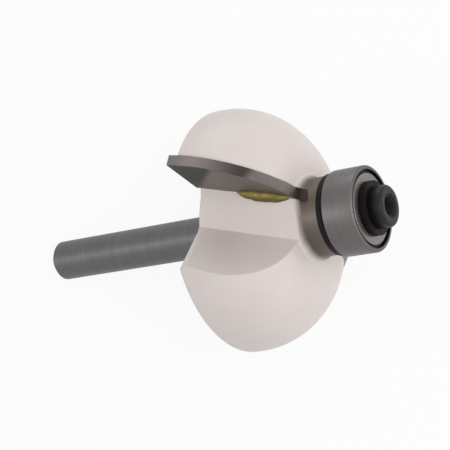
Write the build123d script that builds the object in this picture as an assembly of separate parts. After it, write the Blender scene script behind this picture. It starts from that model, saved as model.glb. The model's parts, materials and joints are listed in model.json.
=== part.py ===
from build123d import *
from math import cos, degrees, radians, sin, sqrt, tan
import os

# A two-wing cove router bit with a guide bearing on its nose, in millimetres.
#
# Every piece is first modelled in the bit's own frame: Z is the bit's axis and points from
# the shank to the nose, and Z = 0 is the centre of the quarter-round cutting profile.
# seat_on_bench() then lays the finished bit on the bench, where it rests on three points.

# Shank
shank_d = 6.35            # the collet size
shank_length = 32.1       # from the end to where the back of the head would meet it
shank_chamfer = 0.7

# Cutting profile and head
cove_r = 12.7             # radius of the cove that the bit cuts
cutting_land = 1.6        # straight stretch of the cutting edge behind the arc
edge_stand_out = 0.56     # how far the cutting edge stands proud of the painted head
edge_stand_back = 1.1     # and how far its corner stands behind the head's rim
back_angle = 14.2         # how far the back of the head leans off a flat face, in degrees
hub_cone_d = 17.0         # where the back of the head steepens towards the shank
hub_cone_angle = 27.0
collar_d = 11.7           # unpainted collar between the head and the bearing
collar_length = 3.66
neck_cone = 0.9           # width of the short cone from the head's front to the collar
neck_cone_length = 1.1

# Gullets: two channels through the head, skewed along the axis
gullet_depth_x = 5.95     # height of the gullet's floor over the axis
rake_slope_angle = 23.5   # how far the rake face leans over, seen along the axis
rake_offset = 6.6         # from the axis to the rake face, along the floor, at Z = 0
rake_skew_angle = 14.0    # how far the rake face turns across the floor, towards the nose
heel_offset = 0.5         # from the axis to the foot of the heel facet, at Z = 0
heel_skew_angle = 14.6
heel_angle_back = 4.0     # lean of the heel facet at the gullet's back end
heel_angle_front = 36.0   # and at its front end: the facet is twisted between the two
heel_bevel_front = 1.3    # the bevel behind the heel facet, along the facet's rim
heel_bevel_back = 1.2     # and along the rim of the head's back
gullet_overrun = 2.0      # how far the channel is drawn past each end of the head

# Carbide tips, brazed into pockets in the rake faces
tip_thickness = 1.8
tip_relief_angle = 10.0   # clearance behind the cutting edge
tip_end_relief_angle = 8.0
tip_back_angle = 11.0     # lean of the tip's end behind the cutting edge
tip_nose_land = 1.6       # stretch of the tip past the arc, level with the bearing
tip_nose_depth = 0.9      # how far that stretch reaches down the rake face under the floor
braze_gap = 0.12
bead_length = 8.8         # the bead of braze left along the foot of the rake face
bead_middle_z = 7.8
bead_r = 1.0              # its greatest thickness

# Guide bearing, a shielded ball bearing of inch series
bearing_od = 12.7
bearing_bore = 4.7625
bearing_width = 4.978
bearing_edge = 0.3        # chamfer of the outer ring's rims
inner_ring_wall = 1.07    # thickness of the rings beside their grooves
outer_ring_wall = 1.05
ball_d = 2.381
ball_count = 7
ball_sides = 12           # the balls are many-sided, because seven round ones are heavy
groove_clearance = 0.04   # between a ball and its groove, all round
cage_wall = 0.55
cage_width = 3.0
cage_pocket_clearance = 0.05
seal_thickness = 0.4
seal_recess = 0.16        # from the bearing's face to the seal
seal_seat_depth = 0.35    # how far the seal's rim sits into the outer ring
seal_gap = 0.1            # between the seal's lip and the inner ring

# Washers and cap screw on the stud at the nose
stud_fit = 0.02           # radial clearance of the bearing and washers on the stud
stud_set_back = 0.4       # the stud ends this far inside the bearing's front face
rear_washer_d = 12.1
rear_washer_thickness = 0.94
rear_washer_relief = 0.2  # keeps the washer's rim off the ring that turns
front_washer_d = 8.0
front_washer_thickness = 0.78
screw_thread_d = 3.0
screw_hole_fit = 0.03
screw_length = 8.0        # under the head
screw_head_d = 6.2
screw_head_height = 2.1
screw_head_edge = 0.4
screw_hole_depth = 9.0    # from the screw's seat to the bottom of the tapped hole
hex_across_flats = 2.5
hex_depth = 1.4
wing_count = 2
cut_overrun = 1.0         # how far a cut is drawn past an open face

# Places along the axis that follow from the sizes above
profile_centre_r = bearing_od / 2
cutting_r = profile_centre_r + cove_r
head_arc_r = cove_r - edge_stand_out
head_r = profile_centre_r + head_arc_r
head_back_rim_z = edge_stand_back - cutting_land
collar_r = collar_d / 2
shank_r = shank_d / 2
back_slope = tan(radians(back_angle))
rake_skew = tan(radians(rake_skew_angle))
heel_skew = tan(radians(heel_skew_angle))
hub_z = head_back_rim_z - (head_r - shank_r) * back_slope
hub_cone_r = hub_cone_d / 2
hub_cone_z = head_back_rim_z - (head_r - hub_cone_r) * back_slope
hub_cone_end_z = hub_cone_z - (hub_cone_r - shank_r) * tan(radians(hub_cone_angle))
shank_end_z = hub_z - shank_length
collar_end_z = head_arc_r + collar_length
bearing_back_z = collar_end_z + rear_washer_thickness
bearing_front_z = bearing_back_z + bearing_width
bearing_mid_z = (bearing_back_z + bearing_front_z) / 2
stud_r = bearing_bore / 2 - stud_fit
stud_end_z = bearing_front_z - stud_set_back
screw_seat_z = bearing_front_z + front_washer_thickness
inner_shoulder_r = bearing_bore / 2 + inner_ring_wall
outer_shoulder_r = bearing_od / 2 - outer_ring_wall
ball_pitch_r = (inner_shoulder_r + outer_shoulder_r) / 2
groove_r = ball_d / 2 + groove_clearance


def turned(*corners):
    """Turn a closed outline of (radius, height) points about the bit's axis."""
    outline = Polyline(*[(r, 0, z) for r, z in corners], close=True)
    return revolve(make_face(outline), Axis.Z)


def ring(inner_r, outer_r, low_z, high_z):
    """A plain turned ring, or a disc where inner_r is 0."""
    return turned((inner_r, low_z), (outer_r, low_z), (outer_r, high_z), (inner_r, high_z))


# ---- head, shank and stud ----

def arc_point(arc_r, share):
    """A point of the quarter round: share 0 at the head's rim and 1 at its front."""
    turn = radians(90 * share)
    return profile_centre_r + arc_r * cos(turn), 0, arc_r * sin(turn)


def profile_blank(rim_r, arc_r, back_z, back_lean):
    """The solid swept by a quarter-round profile with a straight land and a coned back."""
    axis_back_z = back_z - rim_r * tan(radians(back_lean))
    outline = [Polyline((0, 0, axis_back_z), (rim_r, 0, back_z), (rim_r, 0, 0))]
    # three short arcs mesh lighter than one long one
    for step in range(3):
        places = [arc_point(arc_r, (step + part) / 3) for part in (0, 0.5, 1)]
        outline.append(ThreePointArc(*places))
    outline.append(Polyline(arc_point(arc_r, 1), (0, 0, arc_r), (0, 0, axis_back_z)))
    return revolve(make_face(outline), Axis.Z)


def shank():
    """The ground shank, chamfered at its end and running on into the head."""
    return turned(
        (0, shank_end_z),
        (shank_r - shank_chamfer, shank_end_z),
        (shank_r, shank_end_z + shank_chamfer),
        (shank_r, 0),
        (0, 0),
    )


def hub_blend():
    """The steeper cone between the back of the head and the shank."""
    return turned(
        (0, hub_cone_end_z),
        (shank_r, hub_cone_end_z),
        (hub_cone_r, hub_cone_z),
        (0, hub_cone_z),
    )


def neck_blend():
    """The short cone between the front of the head and the collar."""
    foot_r = collar_r + neck_cone
    foot_z = sqrt(head_arc_r ** 2 - (foot_r - profile_centre_r) ** 2)
    top_z = foot_z + neck_cone_length
    return turned((0, foot_z), (foot_r, foot_z), (collar_r, top_z), (0, top_z))


def rake_line(z):
    """Where the rake face crosses the gullet's floor at height z."""
    return -(rake_offset - rake_skew * z)


def heel_line(z):
    """Where the heel facet crosses the gullet's floor at height z."""
    return -(heel_offset - heel_skew * z)


def channel():
    """The straight skewed channel: a flat floor and a leaning rake face, open at the heel."""
    reach = 2 * cutting_r
    rake_foot = (gullet_depth_x, rake_line(gullet_back_z), gullet_back_z)
    rake_far = (
        gullet_depth_x + reach,
        rake_line(gullet_back_z) - reach * tan(radians(rake_slope_angle)),
        gullet_back_z,
    )
    heel_far = (gullet_depth_x + reach, reach, gullet_back_z)
    heel_foot = (gullet_depth_x, reach, gullet_back_z)
    section = make_face(Polyline(rake_foot, rake_far, heel_far, heel_foot, close=True))
    run = Vector(0, rake_skew, 1)
    return extrude(section, amount=(gullet_front_z - gullet_back_z) * run.length, dir=run.normalized())


def heel_section(z, heel_angle):
    """What the heel facet leaves standing at height z, from below the floor outwards."""
    reach = 2 * cutting_r
    slope = tan(radians(heel_angle))
    below = gullet_depth_x / 2
    foot = (gullet_depth_x - below, heel_line(z) - below * slope, z)
    far = (gullet_depth_x + reach, heel_line(z) + reach * slope, z)
    corner = (gullet_depth_x + reach, 2 * reach, z)
    low_corner = (gullet_depth_x - below, 2 * reach, z)
    return make_face(Polyline(foot, far, corner, low_corner, close=True))


gullet_back_z = hub_z - gullet_overrun
gullet_front_z = head_arc_r + gullet_overrun


def gullet():
    """The channel in front of one cutting edge, closed by the twisted heel facet."""
    back = heel_section(gullet_back_z, heel_angle_back)
    front = heel_section(gullet_front_z, heel_angle_front)
    return channel() - loft([back, front], ruled=True)


def heel_slope(z):
    """The lean of the twisted heel facet at height z, across the axis."""
    share = (z - gullet_back_z) / (gullet_front_z - gullet_back_z)
    return (1 - share) * tan(radians(heel_angle_back)) + share * tan(radians(heel_angle_front))


def heel_point(radius, z):
    """Where the heel facet crosses the circle of that radius at height z."""
    slope = heel_slope(z)
    # the facet's line y = foot + slope * x meets the circle
    foot = heel_line(z) - slope * gullet_depth_x
    x = (sqrt(radius ** 2 * (1 + slope ** 2) - foot ** 2) - slope * foot) / (1 + slope ** 2)
    return Vector(x, foot + slope * x, z)


def heel_bevel_corners():
    """The bevel's two corners at the rim: on the heel facet, and on the head's coned back."""
    front_z = head_back_rim_z + heel_bevel_front
    on_facet = heel_point(profile_centre_r + sqrt(head_arc_r ** 2 - front_z ** 2), front_z)
    rim_turn = degrees(heel_bevel_back / head_r)
    on_back = heel_point(head_r, head_back_rim_z).rotate(Axis.Z, rim_turn)
    return on_facet, on_back


def heel_bevel_block():
    """What the bevel takes off the edge between the heel facet and the coned back."""
    on_facet, on_back = heel_bevel_corners()
    foot = heel_point(hub_cone_r, hub_cone_z)
    lost_corner = heel_point(head_r, head_back_rim_z)
    outward = (on_facet - foot).cross(on_back - foot).normalized()
    if outward.dot(lost_corner - foot) < 0:
        outward = outward * -1
    along = ((on_facet + on_back) * 0.5 - foot).normalized()
    bevel_face = Plane(origin=foot, x_dir=along, z_dir=outward)
    length = (lost_corner - foot).length + heel_bevel_front
    width = 2 * (heel_bevel_front + heel_bevel_back)
    return bevel_face * Box(length, width, width / 2, align=(Align.MIN, Align.CENTER, Align.MIN))


# ---- carbide tip and its braze ----

rake_lean = radians(rake_slope_angle)
floor_line = Vector(0, rake_skew, 1).normalized()             # along the foot of the rake face
up_the_rake = Vector(cos(rake_lean), -sin(rake_lean), 0)      # from the floor to the edge
into_wing = floor_line.cross(up_the_rake).normalized()
if into_wing.Y > 0:
    into_wing = into_wing * -1


def rake_point(z, height):
    """A point of the rake face: over the floor line at z, height mm up the face."""
    foot = Vector(gullet_depth_x, rake_line(z), z)
    return foot + up_the_rake * height


def relief_direction():
    """The way the tip's ground flanks run back from the cutting edge."""
    edge = cutting_edge_corner()
    outward = Vector(edge.X, edge.Y, 0).normalized()
    backward = Vector(edge.Y, -edge.X, 0).normalized()
    run = backward * cos(radians(tip_relief_angle)) - outward * sin(radians(tip_relief_angle))
    return (run - Vector(0, 0, tan(radians(tip_end_relief_angle)))).normalized()


def cutting_edge_corner():
    """The back corner of the cutting edge, the widest point of the bit."""
    z = -cutting_land
    foot = rake_point(z, 0)
    along = foot.X * up_the_rake.X + foot.Y * up_the_rake.Y
    across = foot.X ** 2 + foot.Y ** 2 - cutting_r ** 2
    return rake_point(z, sqrt(along ** 2 - across) - along)


def rake_patch(low_height, low_z):
    """A large flat patch of the rake face, from a height and a place along the axis outwards."""
    reach = 2 * cutting_r
    high_z = gullet_front_z + reach
    corners = [
        rake_point(low_z, low_height),
        rake_point(high_z, low_height),
        rake_point(high_z, reach),
        rake_point(low_z, reach),
    ]
    return make_face(Polyline(*corners, close=True))


def driven_into_wing(face, thickness):
    """Extrude a patch of the rake face along the relief direction to a true thickness."""
    run = relief_direction()
    return extrude(face, amount=thickness / run.dot(into_wing), dir=run)


def carbide_tip():
    """One tip: its face lies in the rake face and its edge is the cutting profile."""
    cutting_blank = profile_blank(cutting_r, cove_r, -cutting_land, tip_back_angle)
    cutting_blank += ring(0, profile_centre_r, 0, cove_r + tip_nose_land)
    face = rake_patch(braze_gap, gullet_back_z - cutting_r) & cutting_blank
    nose_face = rake_patch(-tip_nose_depth, head_arc_r) & cutting_blank
    tip = driven_into_wing(face, tip_thickness) + driven_into_wing(nose_face, tip_thickness)
    return tip - ring(0, collar_r + braze_gap, 0, collar_end_z)


def tip_pocket():
    """The pocket milled for the tip, larger than the tip by the braze gap."""
    depth = tip_thickness + braze_gap
    seat = driven_into_wing(rake_patch(0, gullet_back_z - cutting_r), depth)
    nose_seat = driven_into_wing(rake_patch(-tip_nose_depth - braze_gap, head_arc_r - braze_gap), depth)
    return seat + nose_seat


def braze_bead():
    """The bead in the corner between the rake face and the floor, a slim spindle cut by both."""
    half = bead_length / 2
    spindle = turned((0, -half), (bead_r, -half / 3), (bead_r, half / 3), (0, half))
    middle = Plane(origin=rake_point(bead_middle_z, 0), z_dir=floor_line)
    return (middle * spindle) & channel()


def around_axis(shape, number):
    """The copy of a piece that belongs to the wing of that number."""
    return Rot(0, 0, number * 360 / wing_count) * shape


def one_solid(shape):
    """The single solid of a result, without the list that a cut may leave round it."""
    solids = shape.solids()
    return max(solids, key=lambda solid: solid.volume)


def head_pieces():
    """The one-piece body, the two carbide tips and their braze."""
    head_blank = profile_blank(head_r, head_arc_r, head_back_rim_z, back_angle) + hub_blend()
    collar = ring(0, collar_r, 0, collar_end_z)
    stud = ring(0, stud_r, 0, stud_end_z)
    tip = one_solid(carbide_tip())
    wing_pocket = tip_pocket()
    pocket_fill = (head_blank - gullet()) & wing_pocket
    braze = one_solid(pocket_fill - tip - collar + braze_bead())

    head = head_blank + neck_blend()
    for number in range(wing_count):
        head = head - around_axis(gullet(), number)
        head = head - around_axis(wing_pocket, number)
        head = head - around_axis(heel_bevel_block(), number)
    body = head + shank() + collar + stud
    hole_r = screw_thread_d / 2 + screw_hole_fit
    body = body - ring(0, hole_r, screw_seat_z - screw_hole_depth, stud_end_z + cut_overrun)

    pieces = {"body": one_solid(body)}
    for number in range(wing_count):
        pieces[f"carbide_tip_{number + 1}"] = around_axis(tip, number)
        pieces[f"braze_{number + 1}"] = around_axis(braze, number)
    return pieces


# ---- guide bearing ----

def ball_groove():
    """The space the balls sweep: a six-sided outline drawn round their clearance circle."""
    corner_r = groove_r / cos(radians(30))
    corners = [
        (ball_pitch_r + corner_r * cos(radians(turn)), bearing_mid_z + corner_r * sin(radians(turn)))
        for turn in range(30, 390, 60)
    ]
    return turned(*corners)


def bearing_rings():
    """Inner and outer ring, with grooves, chamfered rims and seats for the seals."""
    inner = ring(bearing_bore / 2, inner_shoulder_r, bearing_back_z, bearing_front_z)
    outer = ring(outer_shoulder_r, bearing_od / 2, bearing_back_z, bearing_front_z)
    rims = outer.edges().filter_by(GeomType.CIRCLE).sort_by(SortBy.RADIUS)[-2:]
    outer = chamfer(rims, bearing_edge)
    seat_r = outer_shoulder_r + seal_seat_depth
    seat_depth = seal_recess + seal_thickness
    outer = outer - ring(0, seat_r, bearing_back_z - cut_overrun, bearing_back_z + seat_depth)
    outer = outer - ring(0, seat_r, bearing_front_z - seat_depth, bearing_front_z + cut_overrun)
    return inner - ball_groove(), outer - ball_groove()


def bearing_seal(low_z):
    """A flat seal, held by its rim in the outer ring and just clear of the inner ring."""
    lip_r = inner_shoulder_r + seal_gap
    rim_r = outer_shoulder_r + seal_seat_depth
    return ring(lip_r, rim_r, low_z, low_z + seal_thickness)


def ball_shape():
    """A ball in flat-sided bands, with every corner on its true surface."""
    ball_r = ball_d / 2
    bands = []
    for latitude in (-60, -30, 0, 30, 60):
        turn = radians(latitude)
        bands.append(Pos(0, 0, ball_r * sin(turn)) * RegularPolygon(ball_r * cos(turn), ball_sides))
    return loft(bands, ruled=True)


def bearing_ball(number):
    """One ball at its place on the pitch circle."""
    place = Rot(0, 0, number * 360 / ball_count) * Pos(ball_pitch_r, 0, bearing_mid_z)
    return place * ball_shape()


def bearing_cage():
    """The cage that spaces the balls: a thin ring with a window for each."""
    low_z = bearing_mid_z - cage_width / 2
    cage = ring(ball_pitch_r - cage_wall / 2, ball_pitch_r + cage_wall / 2, low_z, low_z + cage_width)
    window_side = ball_d + 2 * cage_pocket_clearance
    window = Pos(ball_pitch_r, 0, bearing_mid_z) * Box(3 * cage_wall, window_side, window_side)
    for number in range(ball_count):
        cage = cage - Rot(0, 0, number * 360 / ball_count) * window
    return cage


def bearing_pieces():
    """Every piece of the guide bearing."""
    inner, outer = bearing_rings()
    pieces = {
        "bearing_inner_ring": inner,
        "bearing_outer_ring": outer,
        "bearing_cage": bearing_cage(),
        "bearing_rear_seal": bearing_seal(bearing_back_z + seal_recess),
        "bearing_front_seal": bearing_seal(bearing_front_z - seal_recess - seal_thickness),
    }
    for number in range(ball_count):
        pieces[f"bearing_ball_{number + 1}"] = bearing_ball(number)
    return pieces


# ---- washers and screw ----

def rear_washer():
    """The washer behind the bearing, raised at its bore so it only meets the inner ring."""
    hole_r = bearing_bore / 2
    boss_r = inner_shoulder_r
    rim_top_z = bearing_back_z - rear_washer_relief
    return turned(
        (hole_r, collar_end_z),
        (rear_washer_d / 2, collar_end_z),
        (rear_washer_d / 2, rim_top_z),
        (boss_r, rim_top_z),
        (boss_r, bearing_back_z),
        (hole_r, bearing_back_z),
    )


def front_washer():
    """The washer between the bearing's inner ring and the screw head."""
    hole_r = screw_thread_d / 2 + screw_hole_fit
    return ring(hole_r, front_washer_d / 2, bearing_front_z, screw_seat_z)


def cap_screw():
    """The hexagon socket cap screw, with a plain shank in place of its thread."""
    head_top_z = screw_seat_z + screw_head_height
    head = ring(0, screw_head_d / 2, screw_seat_z, head_top_z)
    top_rim = head.edges().filter_by(GeomType.CIRCLE).sort_by(Axis.Z)[-1]
    head = chamfer(top_rim, screw_head_edge)
    hexagon = RegularPolygon(hex_across_flats / 2, 6, major_radius=False)
    socket = Pos(0, 0, head_top_z - hex_depth) * extrude(hexagon, hex_depth)
    thread = ring(0, screw_thread_d / 2, screw_seat_z - screw_length, screw_seat_z)
    return head - socket + thread


# ---- resting place ----

def seat_on_bench(pieces):
    """Lay the bit down with its second gullet underneath, resting on three points."""
    lip = cutting_edge_corner().rotate(Axis.Z, 180)
    heels = [corner.rotate(Axis.Z, 180) for corner in heel_bevel_corners()]
    rim_centre = Vector(0, 0, shank_end_z + shank_chamfer)
    up = Vector(1, 0, 0)
    for _ in range(30):
        sideways = Vector(up.X, up.Y, 0).normalized()
        shank_foot = rim_centre - sideways * shank_r
        heel = min(heels, key=lambda corner: corner.dot(up))
        up = (heel - lip).cross(shank_foot - lip).normalized()
        if up.X < 0:
            up = up * -1
    along = (Vector(0, 0, 1) - up * up.Z).normalized()
    bench = Plane(origin=lip, x_dir=along, z_dir=up)
    laid = {name: bench.to_local_coords(piece) for name, piece in pieces.items()}
    box = Compound([solid for piece in laid.values() for solid in piece.solids()]).bounding_box()
    centre = Pos(-(box.min.X + box.max.X) / 2, -(box.min.Y + box.max.Y) / 2, -box.min.Z)
    return {name: centre * piece for name, piece in laid.items()}


def all_pieces():
    """Every piece of the bit, in the bit's own frame."""
    pieces = head_pieces()
    pieces["rear_washer"] = rear_washer()
    pieces.update(bearing_pieces())
    pieces["front_washer"] = front_washer()
    pieces["cap_screw"] = cap_screw()
    return pieces


os.makedirs("parts", exist_ok=True)
for name, piece in seat_on_bench(all_pieces()).items():
    export_step(piece, f"parts/{name}.step")
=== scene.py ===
import json
from math import cos, radians, sin, tan

import bpy
import numpy as np
from mathutils import Matrix, Vector


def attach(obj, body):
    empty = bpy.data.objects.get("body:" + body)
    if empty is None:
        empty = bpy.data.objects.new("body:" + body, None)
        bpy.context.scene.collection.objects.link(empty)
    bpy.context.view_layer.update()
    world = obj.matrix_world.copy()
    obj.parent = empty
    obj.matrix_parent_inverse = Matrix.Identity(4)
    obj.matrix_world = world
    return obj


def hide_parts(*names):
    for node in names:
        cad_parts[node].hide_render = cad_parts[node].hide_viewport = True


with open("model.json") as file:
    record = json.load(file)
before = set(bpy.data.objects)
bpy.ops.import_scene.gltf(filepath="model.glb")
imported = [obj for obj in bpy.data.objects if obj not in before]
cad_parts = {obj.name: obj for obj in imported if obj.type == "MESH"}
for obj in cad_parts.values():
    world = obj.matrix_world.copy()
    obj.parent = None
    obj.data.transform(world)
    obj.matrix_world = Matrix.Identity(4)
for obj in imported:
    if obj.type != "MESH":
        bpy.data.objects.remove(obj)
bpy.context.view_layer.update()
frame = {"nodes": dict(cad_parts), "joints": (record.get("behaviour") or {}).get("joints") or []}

mm = 0.001
nodes = frame["nodes"]


# the bit's own frame: its axis comes from the joint, its first gullet from how far the bit has rolled
bitSettings = {
    "gulletRoll": 8.42,          # degrees from straight up to the first gullet's floor, about the axis
    "profileToBearing": 19.229,  # mm from the quarter round's centre plane to the bearing's middle
}


def bitFrame(settings):
    # columns X (out of the gullet's floor), Y and Z (shank to nose), and the profile centre, in metres
    joint = next(j for j in frame["joints"] if j["name"] == "guide_ring_spin")
    axis = np.array(joint["axis"], float)
    axis /= np.linalg.norm(axis)
    upright = np.array([-axis[2], 0.0, axis[0]])
    side = np.cross(axis, upright)
    roll = radians(settings["gulletRoll"])
    outX = cos(roll) * upright + sin(roll) * side
    outY = np.cross(axis, outX)
    centre = np.array(joint["pos_m"], float) - axis * settings["profileToBearing"] * mm
    return np.column_stack([outX, outY, axis]), centre


bitAxes, bitCentre = bitFrame(bitSettings)
bitMatrix = Matrix(bitAxes.tolist()).to_4x4()
bitMatrix.translation = Vector(bitCentre)


def inBit(name):
    # a node's vertices in the bit's frame, in mm
    mesh = nodes[name].data
    flat = np.empty(3 * len(mesh.vertices))
    mesh.vertices.foreach_get("co", flat)
    return (flat.reshape(-1, 3) - bitCentre) @ bitAxes / mm


def spanOf(name):
    # how far a turned node reaches: its least and greatest height and radius, in mm
    points = inBit(name)
    radius = np.hypot(points[:, 0], points[:, 1])
    return points[:, 2].min(), points[:, 2].max(), radius.min(), radius.max()


def srgb(code):
    # hex colour to linear
    parts = [int(code[i:i + 2], 16) / 255 for i in (1, 3, 5)]
    return tuple(c / 12.92 if c <= 0.04045 else ((c + 0.055) / 1.055) ** 2.4 for c in parts) + (1.0,)


def addNode(tree, kind, inputs=None, **settings):
    # one node: its settings by name, its inputs as values, sockets, or nodes whose first output is linked
    node = tree.nodes.new(kind)
    for name, value in settings.items():
        setattr(node, name, value)
    for name, value in (inputs or {}).items():
        if isinstance(value, bpy.types.Node):
            value = value.outputs[0]
        if isinstance(value, bpy.types.NodeSocket):
            tree.links.new(value, node.inputs[name])
        else:
            node.inputs[name].default_value = value
    return node


def newMaterial(name):
    material = bpy.data.materials.new(name)
    material.use_nodes = True
    tree = material.node_tree
    tree.nodes.clear()
    return material, tree


def bitCoordinates(tree, kind="Object"):
    # object coordinates, or the surface's normal, turned into the bit's frame with Z along the axis
    place = addNode(tree, "ShaderNodeTexCoord")
    shift = bitMatrix.translation if kind == "Object" else (0, 0, 0)
    return addNode(
        tree, "ShaderNodeMapping",
        {"Vector": place.outputs[kind], "Location": shift, "Rotation": bitMatrix.to_euler()},
        vector_type="TEXTURE",
    )


def heightAndRadius(tree, place):
    # the height along the bit's axis, the distance from it, and the place with its height left out
    height = addNode(tree, "ShaderNodeSeparateXYZ", {"Vector": place}).outputs["Z"]
    flat = addNode(tree, "ShaderNodeVectorMath", {0: place, 1: (1, 1, 0)}, operation="MULTIPLY")
    radius = addNode(tree, "ShaderNodeVectorMath", {0: flat}, operation="LENGTH").outputs["Value"]
    return height, radius, flat


def stretchedNoise(tree, vector, sizes, detail, roughness=0.5):
    # noise whose grain sizes along the bit's X, Y and Z are given in mm
    grain = addNode(
        tree, "ShaderNodeMapping", {"Vector": vector, "Scale": tuple(1.0 / (s * mm) for s in sizes)})
    return addNode(
        tree, "ShaderNodeTexNoise",
        {"Vector": grain, "Scale": 1.0, "Detail": detail, "Roughness": roughness})


noiseSpan = {"From Min": 0.25, "From Max": 0.75}     # where most of a noise's values lie


# body: bare ground shank, white painted head, bare collar
bodySettings = {
    "paintBegins": (-6.45, -5.95),  # mm along the axis: the sprayed edge behind the head's back cone
    "paintEnds": (12.4, 13.5),      # and the one on the neck, where it is sprayed thin
    "edgeDrift": 0.4,               # mm by which these edges wander
    "driftGrain": (2.5, 2.5, 2.5),  # mm
    "collarFrom": 10.0,             # mm along the axis: bare steel past this is the warmer collar
    "edgeRadius": 0.3,              # mm: the paint rounds every edge of the head
    "bareEdgeRadius": 0.12,
    "paint": "#E0D6D3",
    "paintShade": "#DBD0CC",
    "mottleGrain": (6, 6, 6),
    "peelGrain": (0.9, 0.9, 0.9),   # mm: orange peel is about 1 mm apart
    "paintRoughness": (0.42, 0.52),
    "peelBump": (0.02, 0.2),        # mm deep, strength
    "steel": "#6A6969",
    "steelDark": "#5E5D5D",
    "collar": "#6E655E",
    "collarDark": "#5F5751",
    "ringGrain": (9, 9, 0.2),       # mm: rings of centreless grinding, drawn as coarse as they need to show
    "steelRoughness": (0.42, 0.5),
    "ringBump": (0.005, 0.2),
}


def bodyMaterial(settings):
    # satin sprayed enamel over turned steel: soft highlight and a faint orange peel
    s = settings
    material, tree = newMaterial("sprayedEnamelAndGroundSteel")
    place = bitCoordinates(tree)
    along = addNode(tree, "ShaderNodeSeparateXYZ", {"Vector": place}).outputs["Z"]
    drift = stretchedNoise(tree, place, s["driftGrain"], 2)
    edge = addNode(
        tree, "ShaderNodeMath", {0: drift, 1: s["edgeDrift"] * mm, 2: along}, operation="MULTIPLY_ADD")
    begins, ends = (
        addNode(
            tree, "ShaderNodeMapRange", {"Value": edge, "From Min": low * mm, "From Max": high * mm},
            interpolation_type="SMOOTHSTEP")
        for low, high in (s["paintBegins"], s["paintEnds"])
    )
    before = addNode(tree, "ShaderNodeMath", {0: 1.0, 1: ends}, operation="SUBTRACT")
    painted = addNode(tree, "ShaderNodeMath", {0: begins, 1: before}, operation="MULTIPLY")
    onNose = addNode(
        tree, "ShaderNodeMath", {0: along, 1: s["collarFrom"] * mm}, operation="GREATER_THAN")

    mottle = addNode(
        tree, "ShaderNodeMapRange", {**noiseSpan, "Value": stretchedNoise(tree, place, s["mottleGrain"], 3)})
    paintColour = addNode(
        tree, "ShaderNodeMix", {0: mottle, 6: srgb(s["paint"]), 7: srgb(s["paintShade"])},
        data_type="RGBA").outputs[2]
    peel = stretchedNoise(tree, place, s["peelGrain"], 2)
    low, high = s["paintRoughness"]
    roughness = addNode(
        tree, "ShaderNodeMapRange", {**noiseSpan, "Value": peel, "To Min": low, "To Max": high})
    rounded = addNode(tree, "ShaderNodeBevel", {"Radius": s["edgeRadius"] * mm}, samples=6)
    depth, strength = s["peelBump"]
    peeled = addNode(
        tree, "ShaderNodeBump",
        {"Height": peel, "Distance": depth * mm, "Strength": strength, "Normal": rounded})
    enamel = addNode(
        tree, "ShaderNodeBsdfPrincipled",
        {"Base Color": paintColour, "Roughness": roughness, "IOR": 1.5, "Coat Weight": 0.1,
         "Coat Roughness": 0.35, "Normal": peeled})

    rings = stretchedNoise(tree, place, s["ringGrain"], 4, 0.6)
    streaks = addNode(tree, "ShaderNodeMapRange", {**noiseSpan, "Value": rings})
    steel, collar = (
        addNode(
            tree, "ShaderNodeMix", {0: streaks, 6: srgb(s[light]), 7: srgb(s[dark])},
            data_type="RGBA").outputs[2]
        for light, dark in (("steel", "steelDark"), ("collar", "collarDark"))
    )
    bareColour = addNode(
        tree, "ShaderNodeMix", {0: onNose, 6: steel, 7: collar}, data_type="RGBA").outputs[2]
    low, high = s["steelRoughness"]
    roughness = addNode(
        tree, "ShaderNodeMapRange", {**noiseSpan, "Value": rings, "To Min": low, "To Max": high})
    worn = addNode(tree, "ShaderNodeBevel", {"Radius": s["bareEdgeRadius"] * mm}, samples=6)
    depth, strength = s["ringBump"]
    ringed = addNode(
        tree, "ShaderNodeBump",
        {"Height": rings, "Distance": depth * mm, "Strength": strength, "Normal": worn})
    bare = addNode(
        tree, "ShaderNodeBsdfPrincipled",
        {"Base Color": bareColour, "Metallic": 1.0, "Roughness": roughness, "Normal": ringed})
    surface = addNode(tree, "ShaderNodeMixShader", {0: painted, 1: bare, 2: enamel})
    addNode(tree, "ShaderNodeOutputMaterial", {"Surface": surface})
    return material


# the two carbide tips
carbideSettings = {
    "rake": "#7F7875",           # the lapped rake face
    "rakeShade": "#736C68",
    "cloudGrain": (3, 3, 3),     # mm
    "paintedCornerShade": "#35302E",       # painted shade: its outer back corner is darkened, standing in for the dark reflection and the missing bounce light there
    "cornerShadeSlope": 1.02,           # the dark corner ends where height = slope x radius - offset
    "cornerShadeOffset": 12.7,          # mm
    "cornerShadeFade": (-0.8, 0.8),     # mm over which it ends
    "flank": "#706A67",          # the relieved flank behind the edge, bright at its back end
    "flankNoseShade": "#342C2A",      # and darker at its nose end, a painted shade standing in for its darker reflection there
    "flankFrom": (0.57, 0.67),   # how far a face looks away from the axis, to count as flank
    "endFrom": (0.5, 0.7),       # how far a face looks along the axis, to count as an end
    "flankShading": (1.0, 11.0),      # mm along the axis over which the painted shade darkens the flank
    "scratchGrain": (0.09, 0.5, 5),
    "roughness": (0.36, 0.46),
    "bump": (0.005, 0.3),        # mm deep, strength
    "edgeRadius": 0.04,
}


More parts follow.
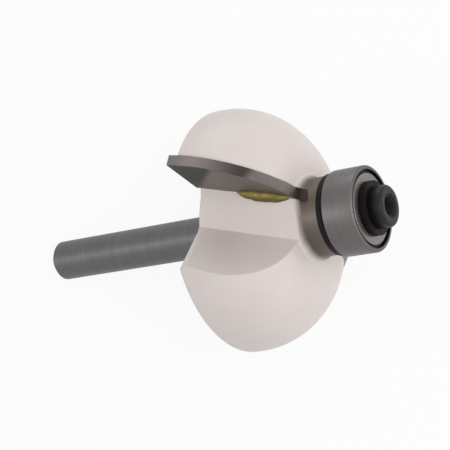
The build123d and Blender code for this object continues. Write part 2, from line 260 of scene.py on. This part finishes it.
def carbideMaterial(settings):
    # tungsten carbide off a diamond wheel: dark grey, fine parallel scratches, low sheen
    s = settings
    material, tree = newMaterial("diamondGroundCarbide")
    place = bitCoordinates(tree)
    along, radius, flat = heightAndRadius(tree, place)
    outward = addNode(tree, "ShaderNodeVectorMath", {0: flat}, operation="NORMALIZE")
    normal = bitCoordinates(tree, "Normal")
    facing = addNode(
        tree, "ShaderNodeVectorMath", {0: normal, 1: outward}, operation="DOT_PRODUCT").outputs["Value"]
    upward = addNode(tree, "ShaderNodeSeparateXYZ", {"Vector": normal}).outputs["Z"]
    endwise = addNode(tree, "ShaderNodeMath", {0: upward}, operation="ABSOLUTE")
    # painted shade: past a slanting line across the rake face, its outer back corner takes the dark shade
    # colour
    cornerShadeLine = addNode(
        tree, "ShaderNodeMath", {0: radius, 1: s["cornerShadeSlope"], 2: -s["cornerShadeOffset"] * mm},
        operation="MULTIPLY_ADD")
    pastLine = addNode(tree, "ShaderNodeMath", {0: cornerShadeLine, 1: along}, operation="SUBTRACT")
    onFlank, onEnd, brazeSkinAndCornerShade = (
        addNode(
            tree, "ShaderNodeMapRange", {"Value": value, "From Min": low, "From Max": high},
            interpolation_type="SMOOTHSTEP")
        for value, low, high in (
            (facing, *s["flankFrom"]), (endwise, *s["endFrom"]),
            (pastLine, s["cornerShadeFade"][0] * mm, s["cornerShadeFade"][1] * mm))
    )
    offEnd = addNode(tree, "ShaderNodeMath", {0: 1.0, 1: onEnd}, operation="SUBTRACT")
    brazeSkinAndCornerShade = addNode(tree, "ShaderNodeMath", {0: brazeSkinAndCornerShade, 1: offEnd}, operation="MULTIPLY")
    # painted shade: the flank darkens from its back end towards the nose
    flankShading = addNode(
        tree, "ShaderNodeMapRange",
        {"Value": along, "From Min": s["flankShading"][0] * mm, "From Max": s["flankShading"][1] * mm})
    cloud = addNode(
        tree, "ShaderNodeMapRange", {**noiseSpan, "Value": stretchedNoise(tree, place, s["cloudGrain"], 2)})
    rake = addNode(
        tree, "ShaderNodeMix", {0: cloud, 6: srgb(s["rake"]), 7: srgb(s["rakeShade"])},
        data_type="RGBA").outputs[2]
    rake = addNode(
        tree, "ShaderNodeMix", {0: brazeSkinAndCornerShade, 6: rake, 7: srgb(s["paintedCornerShade"])}, data_type="RGBA").outputs[2]
    flank = addNode(
        tree, "ShaderNodeMix", {0: flankShading, 6: srgb(s["flank"]), 7: srgb(s["flankNoseShade"])},
        data_type="RGBA").outputs[2]
    colour = addNode(
        tree, "ShaderNodeMix", {0: onFlank, 6: rake, 7: flank}, data_type="RGBA").outputs[2]
    scratches = stretchedNoise(tree, place, s["scratchGrain"], 3, 0.6)
    low, high = s["roughness"]
    roughness = addNode(
        tree, "ShaderNodeMapRange", {**noiseSpan, "Value": scratches, "To Min": low, "To Max": high})
    rounded = addNode(tree, "ShaderNodeBevel", {"Radius": s["edgeRadius"] * mm}, samples=6)
    depth, strength = s["bump"]
    scratched = addNode(
        tree, "ShaderNodeBump",
        {"Height": scratches, "Distance": depth * mm, "Strength": strength, "Normal": rounded})
    carbide = addNode(
        tree, "ShaderNodeBsdfPrincipled",
        {"Base Color": colour, "Metallic": 1.0, "Roughness": roughness, "Normal": scratched})
    addNode(tree, "ShaderNodeOutputMaterial", {"Surface": carbide})
    return material


# braze: the film under each tip is sprayed over, the bead in the corner is bare
brazeSettings = {
    "light": "#8C8150",
    "dark": "#6B613A",
    "grain": (0.5, 0.5, 0.9),       # mm
    "roughness": (0.4, 0.6),
    "bump": (0.05, 0.5),            # mm deep, strength
    "edgeRadius": 0.05,
    "paintedRadius": (8.8, 9.2),    # mm from the axis: past this the film's edge is painted
    "paintedHeight": (12.1, 12.5),  # and mm along it
}


def brazeMaterial(settings):
    # silver-brass braze with the dull olive skin that heat and flux leave
    s = settings
    material, tree = newMaterial("heatDulledBraze")
    place = bitCoordinates(tree)
    along, radius, _ = heightAndRadius(tree, place)
    outside, ahead = (
        addNode(
            tree, "ShaderNodeMapRange", {"Value": value, "From Min": low * mm, "From Max": high * mm},
            interpolation_type="SMOOTHSTEP")
        for value, (low, high) in ((radius, s["paintedRadius"]), (along, s["paintedHeight"]))
    )
    sprayed = addNode(tree, "ShaderNodeMath", {0: outside, 1: ahead}, operation="MAXIMUM")
    brazeSkinAndCornerShade = stretchedNoise(tree, place, s["grain"], 4, 0.6)
    cloud = addNode(tree, "ShaderNodeMapRange", {**noiseSpan, "Value": brazeSkinAndCornerShade})
    bare = addNode(
        tree, "ShaderNodeMix", {0: cloud, 6: srgb(s["light"]), 7: srgb(s["dark"])},
        data_type="RGBA").outputs[2]
    colour = addNode(
        tree, "ShaderNodeMix", {0: sprayed, 6: bare, 7: srgb(bodySettings["paintShade"])},
        data_type="RGBA").outputs[2]
    metallic = addNode(tree, "ShaderNodeMath", {0: 1.0, 1: sprayed}, operation="SUBTRACT")
    low, high = s["roughness"]
    roughness = addNode(
        tree, "ShaderNodeMapRange", {**noiseSpan, "Value": brazeSkinAndCornerShade, "To Min": low, "To Max": high})
    rounded = addNode(tree, "ShaderNodeBevel", {"Radius": s["edgeRadius"] * mm}, samples=6)
    depth, strength = s["bump"]
    wrinkled = addNode(
        tree, "ShaderNodeBump",
        {"Height": brazeSkinAndCornerShade, "Distance": depth * mm, "Strength": strength, "Normal": rounded})
    metal = addNode(
        tree, "ShaderNodeBsdfPrincipled",
        {"Base Color": colour, "Metallic": metallic, "Roughness": roughness, "Normal": wrinkled})
    addNode(tree, "ShaderNodeOutputMaterial", {"Surface": metal})
    return material


# through-hardened bearing steel, ground round: faint rings and a broad satin highlight
bearingSettings = {
    "light": "#716C6C",
    "dark": "#666161",
    "grain": (12, 12, 0.2),      # mm; the rings are drawn as coarse as they need to show
    "detail": 4,
    "grainRoughness": 0.6,
    "roughness": (0.42, 0.5),
    "bump": (0.004, 0.2),        # mm deep, strength
    "edgeRadius": 0.05,
    "metallic": 1.0,
    "boreShade": "#252122",       # painted shade: the step in the ring's bore is darkened, standing in for the shade in the shields' groove
    "boreShadeFade": (5.7, 5.9),      # mm from the axis over which the painted shade gives way to the plain steel
}
# pressed steel of the bearing's shields: a faint cloudy grain and a satin sheen
shieldSteelSettings = {
    "light": "#8D8886",
    "dark": "#7F7A78",
    "grain": (0.6, 0.6, 0.6),
    "detail": 4,
    "grainRoughness": 0.6,
    "roughness": (0.37, 0.47),
    "bump": (0.004, 0.2),
    "edgeRadius": 0.05,
    "metallic": 1.0,
}
# painted shade: near black and dull, put on the groove outside the shields where shade falls, and on the
# seals that the shields replace
sealAndGrooveShadeSettings = {
    "light": "#1E1B1C",
    "dark": "#131112",
    "grain": (0.3, 0.3, 0.3),
    "detail": 3,
    "grainRoughness": 0.5,
    "roughness": (0.55, 0.7),
    "bump": (0.02, 0.4),
    "edgeRadius": 0.05,
    "ior": 1.4,
}
# black oxide on the steel washers: a thin near-black skin, dull
washerSettings = {
    "light": "#100C0E",
    "dark": "#0A0708",
    "grain": (0.8, 0.8, 0.35),
    "detail": 4,
    "grainRoughness": 0.6,
    "roughness": (0.53, 0.67),
    "bump": (0.01, 0.3),
    "edgeRadius": 0.1,
    "ior": 1.28,
}
# the same skin, oiled, on the screw: darker reflections and a little shine
screwSettings = {
    **washerSettings, "light": "#191518", "dark": "#110E11", "roughness": (0.35, 0.49), "ior": 1.34,
}


def grainedMaterial(name, settings):
    # two shades in a grain that also varies the roughness and raises the surface a little
    s = settings
    material, tree = newMaterial(name)
    place = bitCoordinates(tree)
    grain = stretchedNoise(tree, place, s["grain"], s["detail"], s["grainRoughness"])
    cloud = addNode(tree, "ShaderNodeMapRange", {**noiseSpan, "Value": grain})
    colour = addNode(
        tree, "ShaderNodeMix", {0: cloud, 6: srgb(s["light"]), 7: srgb(s["dark"])},
        data_type="RGBA").outputs[2]
    # painted shade in the ring's bore, set by the radius
    if "boreShade" in s:
        _, radius, _ = heightAndRadius(tree, place)
        low, high = s["boreShadeFade"]
        clearOfBoreShade = addNode(
            tree, "ShaderNodeMapRange", {"Value": radius, "From Min": low * mm, "From Max": high * mm},
            interpolation_type="SMOOTHSTEP")
        colour = addNode(
            tree, "ShaderNodeMix", {0: clearOfBoreShade, 6: srgb(s["boreShade"]), 7: colour},
            data_type="RGBA").outputs[2]
    low, high = s["roughness"]
    roughness = addNode(
        tree, "ShaderNodeMapRange", {**noiseSpan, "Value": grain, "To Min": low, "To Max": high})
    rounded = addNode(tree, "ShaderNodeBevel", {"Radius": s["edgeRadius"] * mm}, samples=6)
    depth, strength = s["bump"]
    raised = addNode(
        tree, "ShaderNodeBump",
        {"Height": grain, "Distance": depth * mm, "Strength": strength, "Normal": rounded})
    inputs = {"Base Color": colour, "Roughness": roughness, "Normal": raised}
    if "metallic" in s:
        inputs["Metallic"] = s["metallic"]
    if "ior" in s:
        inputs["IOR"] = s["ior"]
    shader = addNode(tree, "ShaderNodeBsdfPrincipled", inputs)
    addNode(tree, "ShaderNodeOutputMaterial", {"Surface": shader})
    return material


def dress(names, material):
    for name in names:
        mesh = nodes[name].data
        mesh.materials.clear()
        mesh.materials.append(material)


braze = brazeMaterial(brazeSettings)
bearingSteel = grainedMaterial("groundBearingSteel", bearingSettings)
shieldSteel = grainedMaterial("pressedShieldSteel", shieldSteelSettings)
sealAndGrooveShade = grainedMaterial("nitrileSealAndPaintedGrooveShade", sealAndGrooveShadeSettings)
dullOxide = grainedMaterial("dullBlackOxide", washerSettings)
oiledOxide = grainedMaterial("oiledBlackOxide", screwSettings)
dress(["body"], bodyMaterial(bodySettings))
dress(["carbide_tip_1", "carbide_tip_2"], carbideMaterial(carbideSettings))
dress(["braze_1", "braze_2"], braze)
dress([n for n in nodes if n.startswith("bearing_") and "seal" not in n], bearingSteel)
dress(["bearing_rear_seal", "bearing_front_seal"], sealAndGrooveShade)
dress(["rear_washer", "front_washer"], dullOxide)
dress(["cap_screw"], oiledOxide)
print("materials done")


# new pieces are grids of points swept round an axis, in the bit's frame and in mm
def softCorners(corners, cuts, steps=5):
    # each corner P becomes a parabola, P + (1-s)^2 cut a + s^2 cut b,
    # where a and b point along its two sides
    points = np.array(corners, float)
    before = np.roll(points, 1, axis=0) - points
    after = np.roll(points, -1, axis=0) - points
    before /= np.linalg.norm(before, axis=1, keepdims=True)
    after /= np.linalg.norm(after, axis=1, keepdims=True)
    share = np.linspace(0, 1, steps)[None, :, None]
    reach = np.array(cuts, float)[:, None, None]
    rounded = points[:, None] + (1 - share) ** 2 * reach * before[:, None]
    rounded = (rounded + share ** 2 * reach * after[:, None]).reshape(-1, 2)
    moved = np.linalg.norm(rounded - np.roll(rounded, 1, axis=0), axis=1) > 1e-6
    return rounded[moved]


def gridPiece(name, points, ringShaped, materials, faceMaterial=None):
    # rows of points round the axis, in mm, joined row to row; ends are closed by a fan to their middle,
    # or, where the outline is a ring, by joining the last row to the first
    rows, count, _ = points.shape
    index = np.arange(rows * count).reshape(rows, count)
    turned = np.roll(index, -1, axis=1)
    below = index if ringShaped else index[:-1]
    above = np.roll(index, -1, axis=0) if ringShaped else index[1:]
    belowNext = turned if ringShaped else turned[:-1]
    aboveNext = np.roll(turned, -1, axis=0) if ringShaped else turned[1:]
    faces = np.stack([below, belowNext, aboveNext, above], axis=-1).reshape(-1, 4).tolist()
    flat = points.reshape(-1, 3)
    if not ringShaped:
        middles = np.array([points[0].mean(axis=0), points[-1].mean(axis=0)])
        flat = np.vstack([flat, middles])
        faces += np.stack([turned[0], index[0], np.full(count, rows * count)], axis=-1).tolist()
        faces += np.stack([index[-1], turned[-1], np.full(count, rows * count + 1)], axis=-1).tolist()
    world = flat * mm @ bitAxes.T + bitCentre
    mesh = bpy.data.meshes.new(name)
    mesh.from_pydata(world.tolist(), [], faces)
    for material in materials:
        mesh.materials.append(material)
    if faceMaterial is not None:
        each = np.zeros(len(mesh.polygons), dtype=np.int32)
        each[:len(faceMaterial)] = faceMaterial
        mesh.polygons.foreach_set("material_index", each)
    mesh.polygons.foreach_set("use_smooth", np.ones(len(mesh.polygons), dtype=bool))
    piece = bpy.data.objects.new(name, mesh)
    bpy.context.scene.collection.objects.link(piece)
    return piece


def swept(outline, count):
    # (r, h) goes to (r cos t, r sin t, h) for each turn t
    turn = np.linspace(0, 2 * np.pi, count, endpoint=False)
    radius, height = outline[:, 0, None], outline[:, 1, None]
    return np.stack([radius * np.cos(turn), radius * np.sin(turn), height + 0 * turn], axis=-1)


outerRingSettings = {
    "turns": 144,
    "edge": 0.32,              # mm: rounding of the rims
    "seatRadius": 5.72,        # the shields are pressed into a seat of this radius,
    "seatDepth": 0.57,         # this deep from each face
    "shoulderRadius": 5.3,
    "grooveRadius": 1.23,      # of the ball track's section
    "pitchRadius": 4.376,
    "trackRows": 17,
    "mouthCut": 0.06,          # mm cut off the seat's mouth, its foot and the shoulder
    "seatCut": 0.03,
    "shoulderCut": 0.04,
}


def outerRing(settings):
    # the ring's section, carried round: outer wall up, front face in, bore down past the ball track,
    # rear face out
    s = settings
    low, high, _, outer = spanOf("bearing_outer_ring")
    middle, half = (low + high) / 2, (high - low) / 2
    shoulder, seat, step = s["shoulderRadius"], s["seatRadius"], half - s["seatDepth"]
    reach = np.sqrt(s["grooveRadius"] ** 2 - (shoulder - s["pitchRadius"]) ** 2)
    track = np.linspace(reach, -reach, s["trackRows"])
    trackRadius = s["pitchRadius"] + np.sqrt(s["grooveRadius"] ** 2 - track ** 2)
    corners = [(outer, -half), (outer, half), (seat, half), (seat, step), (shoulder, step)]
    corners += list(zip(trackRadius, track))
    corners += [(shoulder, -step), (seat, -step), (seat, -half)]
    inner = [s["mouthCut"], s["seatCut"], s["shoulderCut"]]
    cuts = [s["edge"], s["edge"]] + inner + [0.0] * len(track) + inner[::-1]
    outline = softCorners(corners, cuts) + np.array([0.0, middle])
    return gridPiece("outerRing", swept(outline, s["turns"]), True, [bearingSteel])


ring = outerRing(outerRingSettings)
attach(ring, "guide_ring")
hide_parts("bearing_outer_ring")


shieldSettings = {
    "faceTurns": 144,
    "grooveRadius": 5.32,      # mm: outside this the shield drops into the groove at the ring
    "grooveWall": 0.1,         # how far the drop leans
    "grooveDepth": 0.3,        # below the shield's face
    "sheet": 0.08,             # mm thick
    "lipDrop": 0.12,           # the inner lip turns in towards the inner ring
    "lipWidth": 0.12,
    "backShift": 0.05,         # how far the back's bends stand inside the front's
    "bends": (0.02, 0.05, 0.06, 0.06, 0.02),     # mm cut off each corner, from the lip to the rim
}


def bearingShield(name, node, front, settings):
    # a pressed shield: flat face, turned-in lip at the inner ring, dropped rim held in the outer ring
    low, high, inner, outer = spanOf(node)
    s = settings
    faceCorners = [
        (inner, s["lipDrop"]), (inner + s["lipWidth"], 0.0), (s["grooveRadius"] - s["grooveWall"], 0.0),
        (s["grooveRadius"], s["grooveDepth"]), (outer, s["grooveDepth"]),
    ]
    backCorners = [(r, d + s["sheet"]) for r, d in reversed(faceCorners)]
    for bend in (1, 2):
        backCorners[bend] = (backCorners[bend][0] - s["backShift"], backCorners[bend][1])
    outline = softCorners(faceCorners + backCorners, s["bends"] + s["bends"][::-1])
    depth = outline[:, 1]
    outline[:, 1] = high - depth if front else low + depth
    if front:
        outline = outline[::-1]
    points = swept(outline, s["faceTurns"])
    radius = (outline[:, 0] + np.roll(outline[:, 0], -1)) / 2
    # the faces in the groove get the near-black painted shade
    inGroove = radius > s["grooveRadius"] - s["grooveWall"] / 2
    dark = np.repeat(inGroove.astype(np.int32), s["faceTurns"])
    return gridPiece(name, points, True, [shieldSteel, sealAndGrooveShade], dark)


for shieldName, sealNode, facesNose in (
        ("frontShield", "bearing_front_seal", True), ("rearShield", "bearing_rear_seal", False)):
    shield = bearingShield(shieldName, sealNode, facesNose, shieldSettings)
    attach(shield, "guide_ring")
    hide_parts(sealNode)
print("shields done")


capScrewSettings = {
    "turns": 144,              # a multiple of six, so that the socket's corners fall on points
    "headHeight": 2.1,         # mm
    "headEdge": 0.55,          # rounding of the head's rim
    "socketFlats": 2.5,        # across flats
    "socketDepth": 1.4,
    "socketMouth": 1.85,       # radius of the countersunk mouth
    "mouthDepth": 0.32,
    "drillPoint": 0.3,
    "threadRadius": 1.5,
    "pitch": 0.5,
    "threadDepth": 0.28,
    "rowsPerPitch": 8,
    "threadSlope": 1.25,       # the groove's wall, and how much of the crest stays flat
    "crestFlat": 0.12,
    "endChamfer": 0.3,
    "endRadius": 0.4,
    "rimSteps": 7,
    "dullRows": 6,             # rows of the socket that keep the dull skin
}


def capScrew(settings):
    # radius at turn t is r, r / cos(t within 60 degrees of a flat) in the socket,
    # and less a helix in the thread
    s = settings
    end, top, _, headRadius = spanOf("cap_screw")
    seat = top - s["headHeight"]
    floor = top - s["socketDepth"]
    turn = np.linspace(0, 2 * np.pi, s["turns"], endpoint=False)
    apothem = s["socketFlats"] / 2
    corner = np.linspace(0, np.pi / 2, s["rimSteps"])
    rim, drop = s["headEdge"] * np.sin(corner), s["headEdge"] * (1 - np.cos(corner))
    # radius, height and how far each row is a hexagon; the hundredths of a mm soften the corners
    head = [
        (0.15, floor - s["drillPoint"], 0), (0.9 * apothem, floor - 0.02, 0),
        (apothem - 0.04, floor, 1), (apothem, floor + 0.04, 1), (apothem, top - s["mouthDepth"], 1),
        (apothem / cos(np.pi / 6) + 0.01, top - s["mouthDepth"] + 0.03, 0),
        (s["socketMouth"] - 0.03, top - 0.02, 0), (s["socketMouth"] + 0.04, top, 0),
    ]
    head += [(headRadius - s["headEdge"] + x, top - y, 0) for x, y in zip(rim, drop)]
    head += [(headRadius, seat + 0.08, 0), (headRadius - 0.08, seat, 0), (s["threadRadius"], seat, 0)]
    radius, height, hexShare = (np.array(column)[:, None] for column in zip(*head))
    toFlat = np.mod(turn, np.pi / 3) - np.pi / 6
    hexagon = radius / np.cos(toFlat)
    headRadii = radius * (1 - hexShare) + hexagon * hexShare
    # the thread: a rounded triangle wave of height and turn
    count = int((seat - end - s["endChamfer"]) / s["pitch"] * s["rowsPerPitch"])
    threadHeight = np.linspace(seat - 0.02, end + s["endChamfer"], count)[:, None]
    phase = np.mod(threadHeight / s["pitch"] + turn / (2 * np.pi), 1.0)
    groove = np.clip(s["threadSlope"] * np.abs(2 * phase - 1) - s["crestFlat"], 0, 1)
    threadRadii = s["threadRadius"] - s["threadDepth"] * groove
    tail = np.array([[s["threadRadius"] - s["threadDepth"] - 0.05], [s["endRadius"]]]) + 0 * turn
    radii = np.vstack([headRadii, threadRadii, tail])
    heights = np.vstack([height, threadHeight, [[end], [end]]]) + 0 * turn
    points = np.stack([radii * np.cos(turn), radii * np.sin(turn), heights], axis=-1)
    # the socket, up to its mouth, has the dull skin that no oil or wear reaches
    inSocket = np.arange(len(points) - 1) < s["dullRows"]
    dull = np.repeat(inSocket[::-1].astype(np.int32), s["turns"])
    return gridPiece("socketCapScrew", points[::-1], False, [oiledOxide, dullOxide], dull)


screw = capScrew(capScrewSettings)
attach(screw, "bit")
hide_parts("cap_screw")
print("screw done")


beadSettings = {
    "height": 7.8,             # mm along the axis to the bead's middle
    "length": 9.2,
    "radius": 1.06,
    "floorHeight": 5.95,       # the corner it fills: the gullet floor's height over the axis,
    "rakeOffset": 6.6,         # the rake face's foot at height 0
    "rakeSkew": 14.0,          # and how far the foot turns, in degrees
    "rows": 61,
    "turns": 40,
    "tip": 0.995,              # share of the length at which the ends are closed
    "taper": (2.6, 0.8),
    "lumps": ((0.035, 9, 2, 0.0), (0.03, 17, -1, 1.3)),     # share, waves along, waves round, phase
}


def brazeBead(number, settings):
    # a slim spindle along the foot of the rake face, u from -1 to 1: r = R (1 - |u|^a)^b,
    # times 1 + the sum of share sin(waves along u + waves round t + phase)
    s = settings
    along = np.linspace(-s["tip"], s["tip"], s["rows"])[:, None]
    turn = np.linspace(0, 2 * np.pi, s["turns"], endpoint=False)
    lump = 1 + sum(share * np.sin(k * along + m * turn + phase) for share, k, m, phase in s["lumps"])
    inner, outer = s["taper"]
    radius = s["radius"] * (1 - np.abs(along) ** inner) ** outer * lump
    skew = tan(radians(s["rakeSkew"]))
    direction = np.array([0.0, skew, 1.0]) / np.hypot(skew, 1.0)
    acrossX = np.array([1.0, 0.0, 0.0])
    acrossY = np.cross(direction, acrossX)
    middle = np.array([s["floorHeight"], -(s["rakeOffset"] - skew * s["height"]), s["height"]])
    run = middle + (along * s["length"] / 2)[..., None] * direction
    points = run + (radius * np.cos(turn))[..., None] * acrossX
    points = points + (radius * np.sin(turn))[..., None] * acrossY
    if number == 2:
        points = points * np.array([-1.0, -1.0, 1.0])      # half a turn about the axis
    return gridPiece(f"brazeBead{number}", points, False, [braze])


for number in (1, 2):
    bead = brazeBead(number, beadSettings)
    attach(bead, "bit")
print("beads done")


cameraSettings = {
    "lens": 105.28,             # mm on a 36 mm sensor
    "distance": 200.0,          # mm from the profile centre, along the view
    "offset": (3.12, -0.76),    # mm by which the profile centre stands right of and above the view's middle
    "noseTowards": 32.89,       # degrees that the nose leans towards the camera
    "noseRise": 9.85,           # degrees that the axis rises to the right in the picture
}


def placeCamera(settings):
    # the bit's axes as the camera sees them: X right, Y up, Z towards the camera
    lean, rise = radians(settings["noseTowards"]), radians(settings["noseRise"])
    seenAxis = np.array([cos(lean) * cos(rise), cos(lean) * sin(rise), sin(lean)])
    seenX = np.array([-sin(lean) * cos(rise), -sin(lean) * sin(rise), cos(lean)])
    seenY = np.cross(seenAxis, seenX)
    turn = bitAxes @ np.column_stack([seenX, seenY, seenAxis]).T
    centreSeen = np.array([*settings["offset"], -settings["distance"]]) * mm
    camera = bpy.data.objects.new("camera", bpy.data.cameras.new("camera"))
    camera.data.lens = settings["lens"]
    camera.data.sensor_width = 36.0
    camera.data.clip_start = 0.01
    matrix = Matrix(turn.tolist()).to_4x4()
    matrix.translation = Vector(bitCentre - turn @ centreSeen)
    camera.matrix_world = matrix
    bpy.context.scene.collection.objects.link(camera)
    bpy.context.scene.camera = camera
    return turn


cameraTurn = placeCamera(cameraSettings)
print("camera done")


# a pale board under the bit in white surroundings, with four soft lamps
stageSettings = {
    "floorHalf": 0.6,          # m
    "floorColour": "#F2F1F0",
    "floorRoughness": 0.8,
    "floorShine": 0.9,         # how much of the floor that the camera sees is plain white
    "ambient": 0.5,            # strength of the white surroundings as light on the bit
    "lampDistance": 0.5,       # m from the profile centre
}
# each lamp's direction as the camera sees it (right, up, towards), its size in m and its watts
lampSettings = {
    "frontLamp": ((0.3, 0.1, 1.0), 0.35, 0.97),
    "topLamp": ((-0.12, 0.95, -0.4), 0.35, 2.3),
    "rightLamp": ((1.0, 0.1, 0.2), 0.35, 0.75),
    "leftLamp": ((-0.88, -0.1, 0.4), 0.14, 0.28),
}


def seenDirectly(tree):
    # 1 for the camera's rays and those of metal and glass, which show the white surroundings
    ray = addNode(tree, "ShaderNodeLightPath").outputs
    seen = addNode(
        tree, "ShaderNodeMath", {0: ray["Is Camera Ray"], 1: ray["Is Glossy Ray"]}, operation="MAXIMUM")
    return addNode(
        tree, "ShaderNodeMath", {0: seen, 1: ray["Is Transmission Ray"]}, operation="MAXIMUM")


def makeFloor(settings):
    s = settings
    half = s["floorHalf"]
    mesh = bpy.data.meshes.new("floor")
    corners = [(-half, -half, 0), (half, -half, 0), (half, half, 0), (-half, half, 0)]
    mesh.from_pydata(corners, [], [(0, 1, 2, 3)])
    floor = bpy.data.objects.new("floor", mesh)
    bpy.context.scene.collection.objects.link(floor)
    material, tree = newMaterial("paleBenchBoard")
    matte = addNode(
        tree, "ShaderNodeBsdfPrincipled",
        {"Base Color": srgb(s["floorColour"]), "Roughness": s["floorRoughness"]})
    glow = addNode(tree, "ShaderNodeEmission", {"Color": (1, 1, 1, 1), "Strength": 1.0})
    share = addNode(
        tree, "ShaderNodeMath", {0: seenDirectly(tree), 1: s["floorShine"]}, operation="MULTIPLY")
    surface = addNode(tree, "ShaderNodeMixShader", {0: share, 1: matte, 2: glow})
    addNode(tree, "ShaderNodeOutputMaterial", {"Surface": surface})
    mesh.materials.append(material)


def makeWorld(settings):
    world = bpy.data.worlds.new("studio")
    world.use_nodes = True
    tree = world.node_tree
    tree.nodes.clear()
    strength = addNode(
        tree, "ShaderNodeMapRange",
        {"Value": seenDirectly(tree), "To Min": settings["ambient"], "To Max": 1.0})
    back = addNode(tree, "ShaderNodeBackground", {"Color": (1, 1, 1, 1), "Strength": strength})
    addNode(tree, "ShaderNodeOutputWorld", {"Surface": back})
    bpy.context.scene.world = world


def makeLamps(lamps, distance):
    # each lamp aims at the bit's profile centre
    for name, (direction, size, watts) in lamps.items():
        way = cameraTurn @ np.array(direction, float)
        way /= np.linalg.norm(way)
        light = bpy.data.lights.new(name, "AREA")
        light.energy = watts
        light.size = size
        lamp = bpy.data.objects.new(name, light)
        lamp.location = Vector(bitCentre + way * distance)
        lamp.rotation_euler = Vector(way).to_track_quat("Z", "Y").to_euler()
        bpy.context.scene.collection.objects.link(lamp)


makeFloor(stageSettings)
makeWorld(stageSettings)
makeLamps(lampSettings, stageSettings["lampDistance"])
bpy.context.scene.view_settings.view_transform = "Standard"
print("stage done")
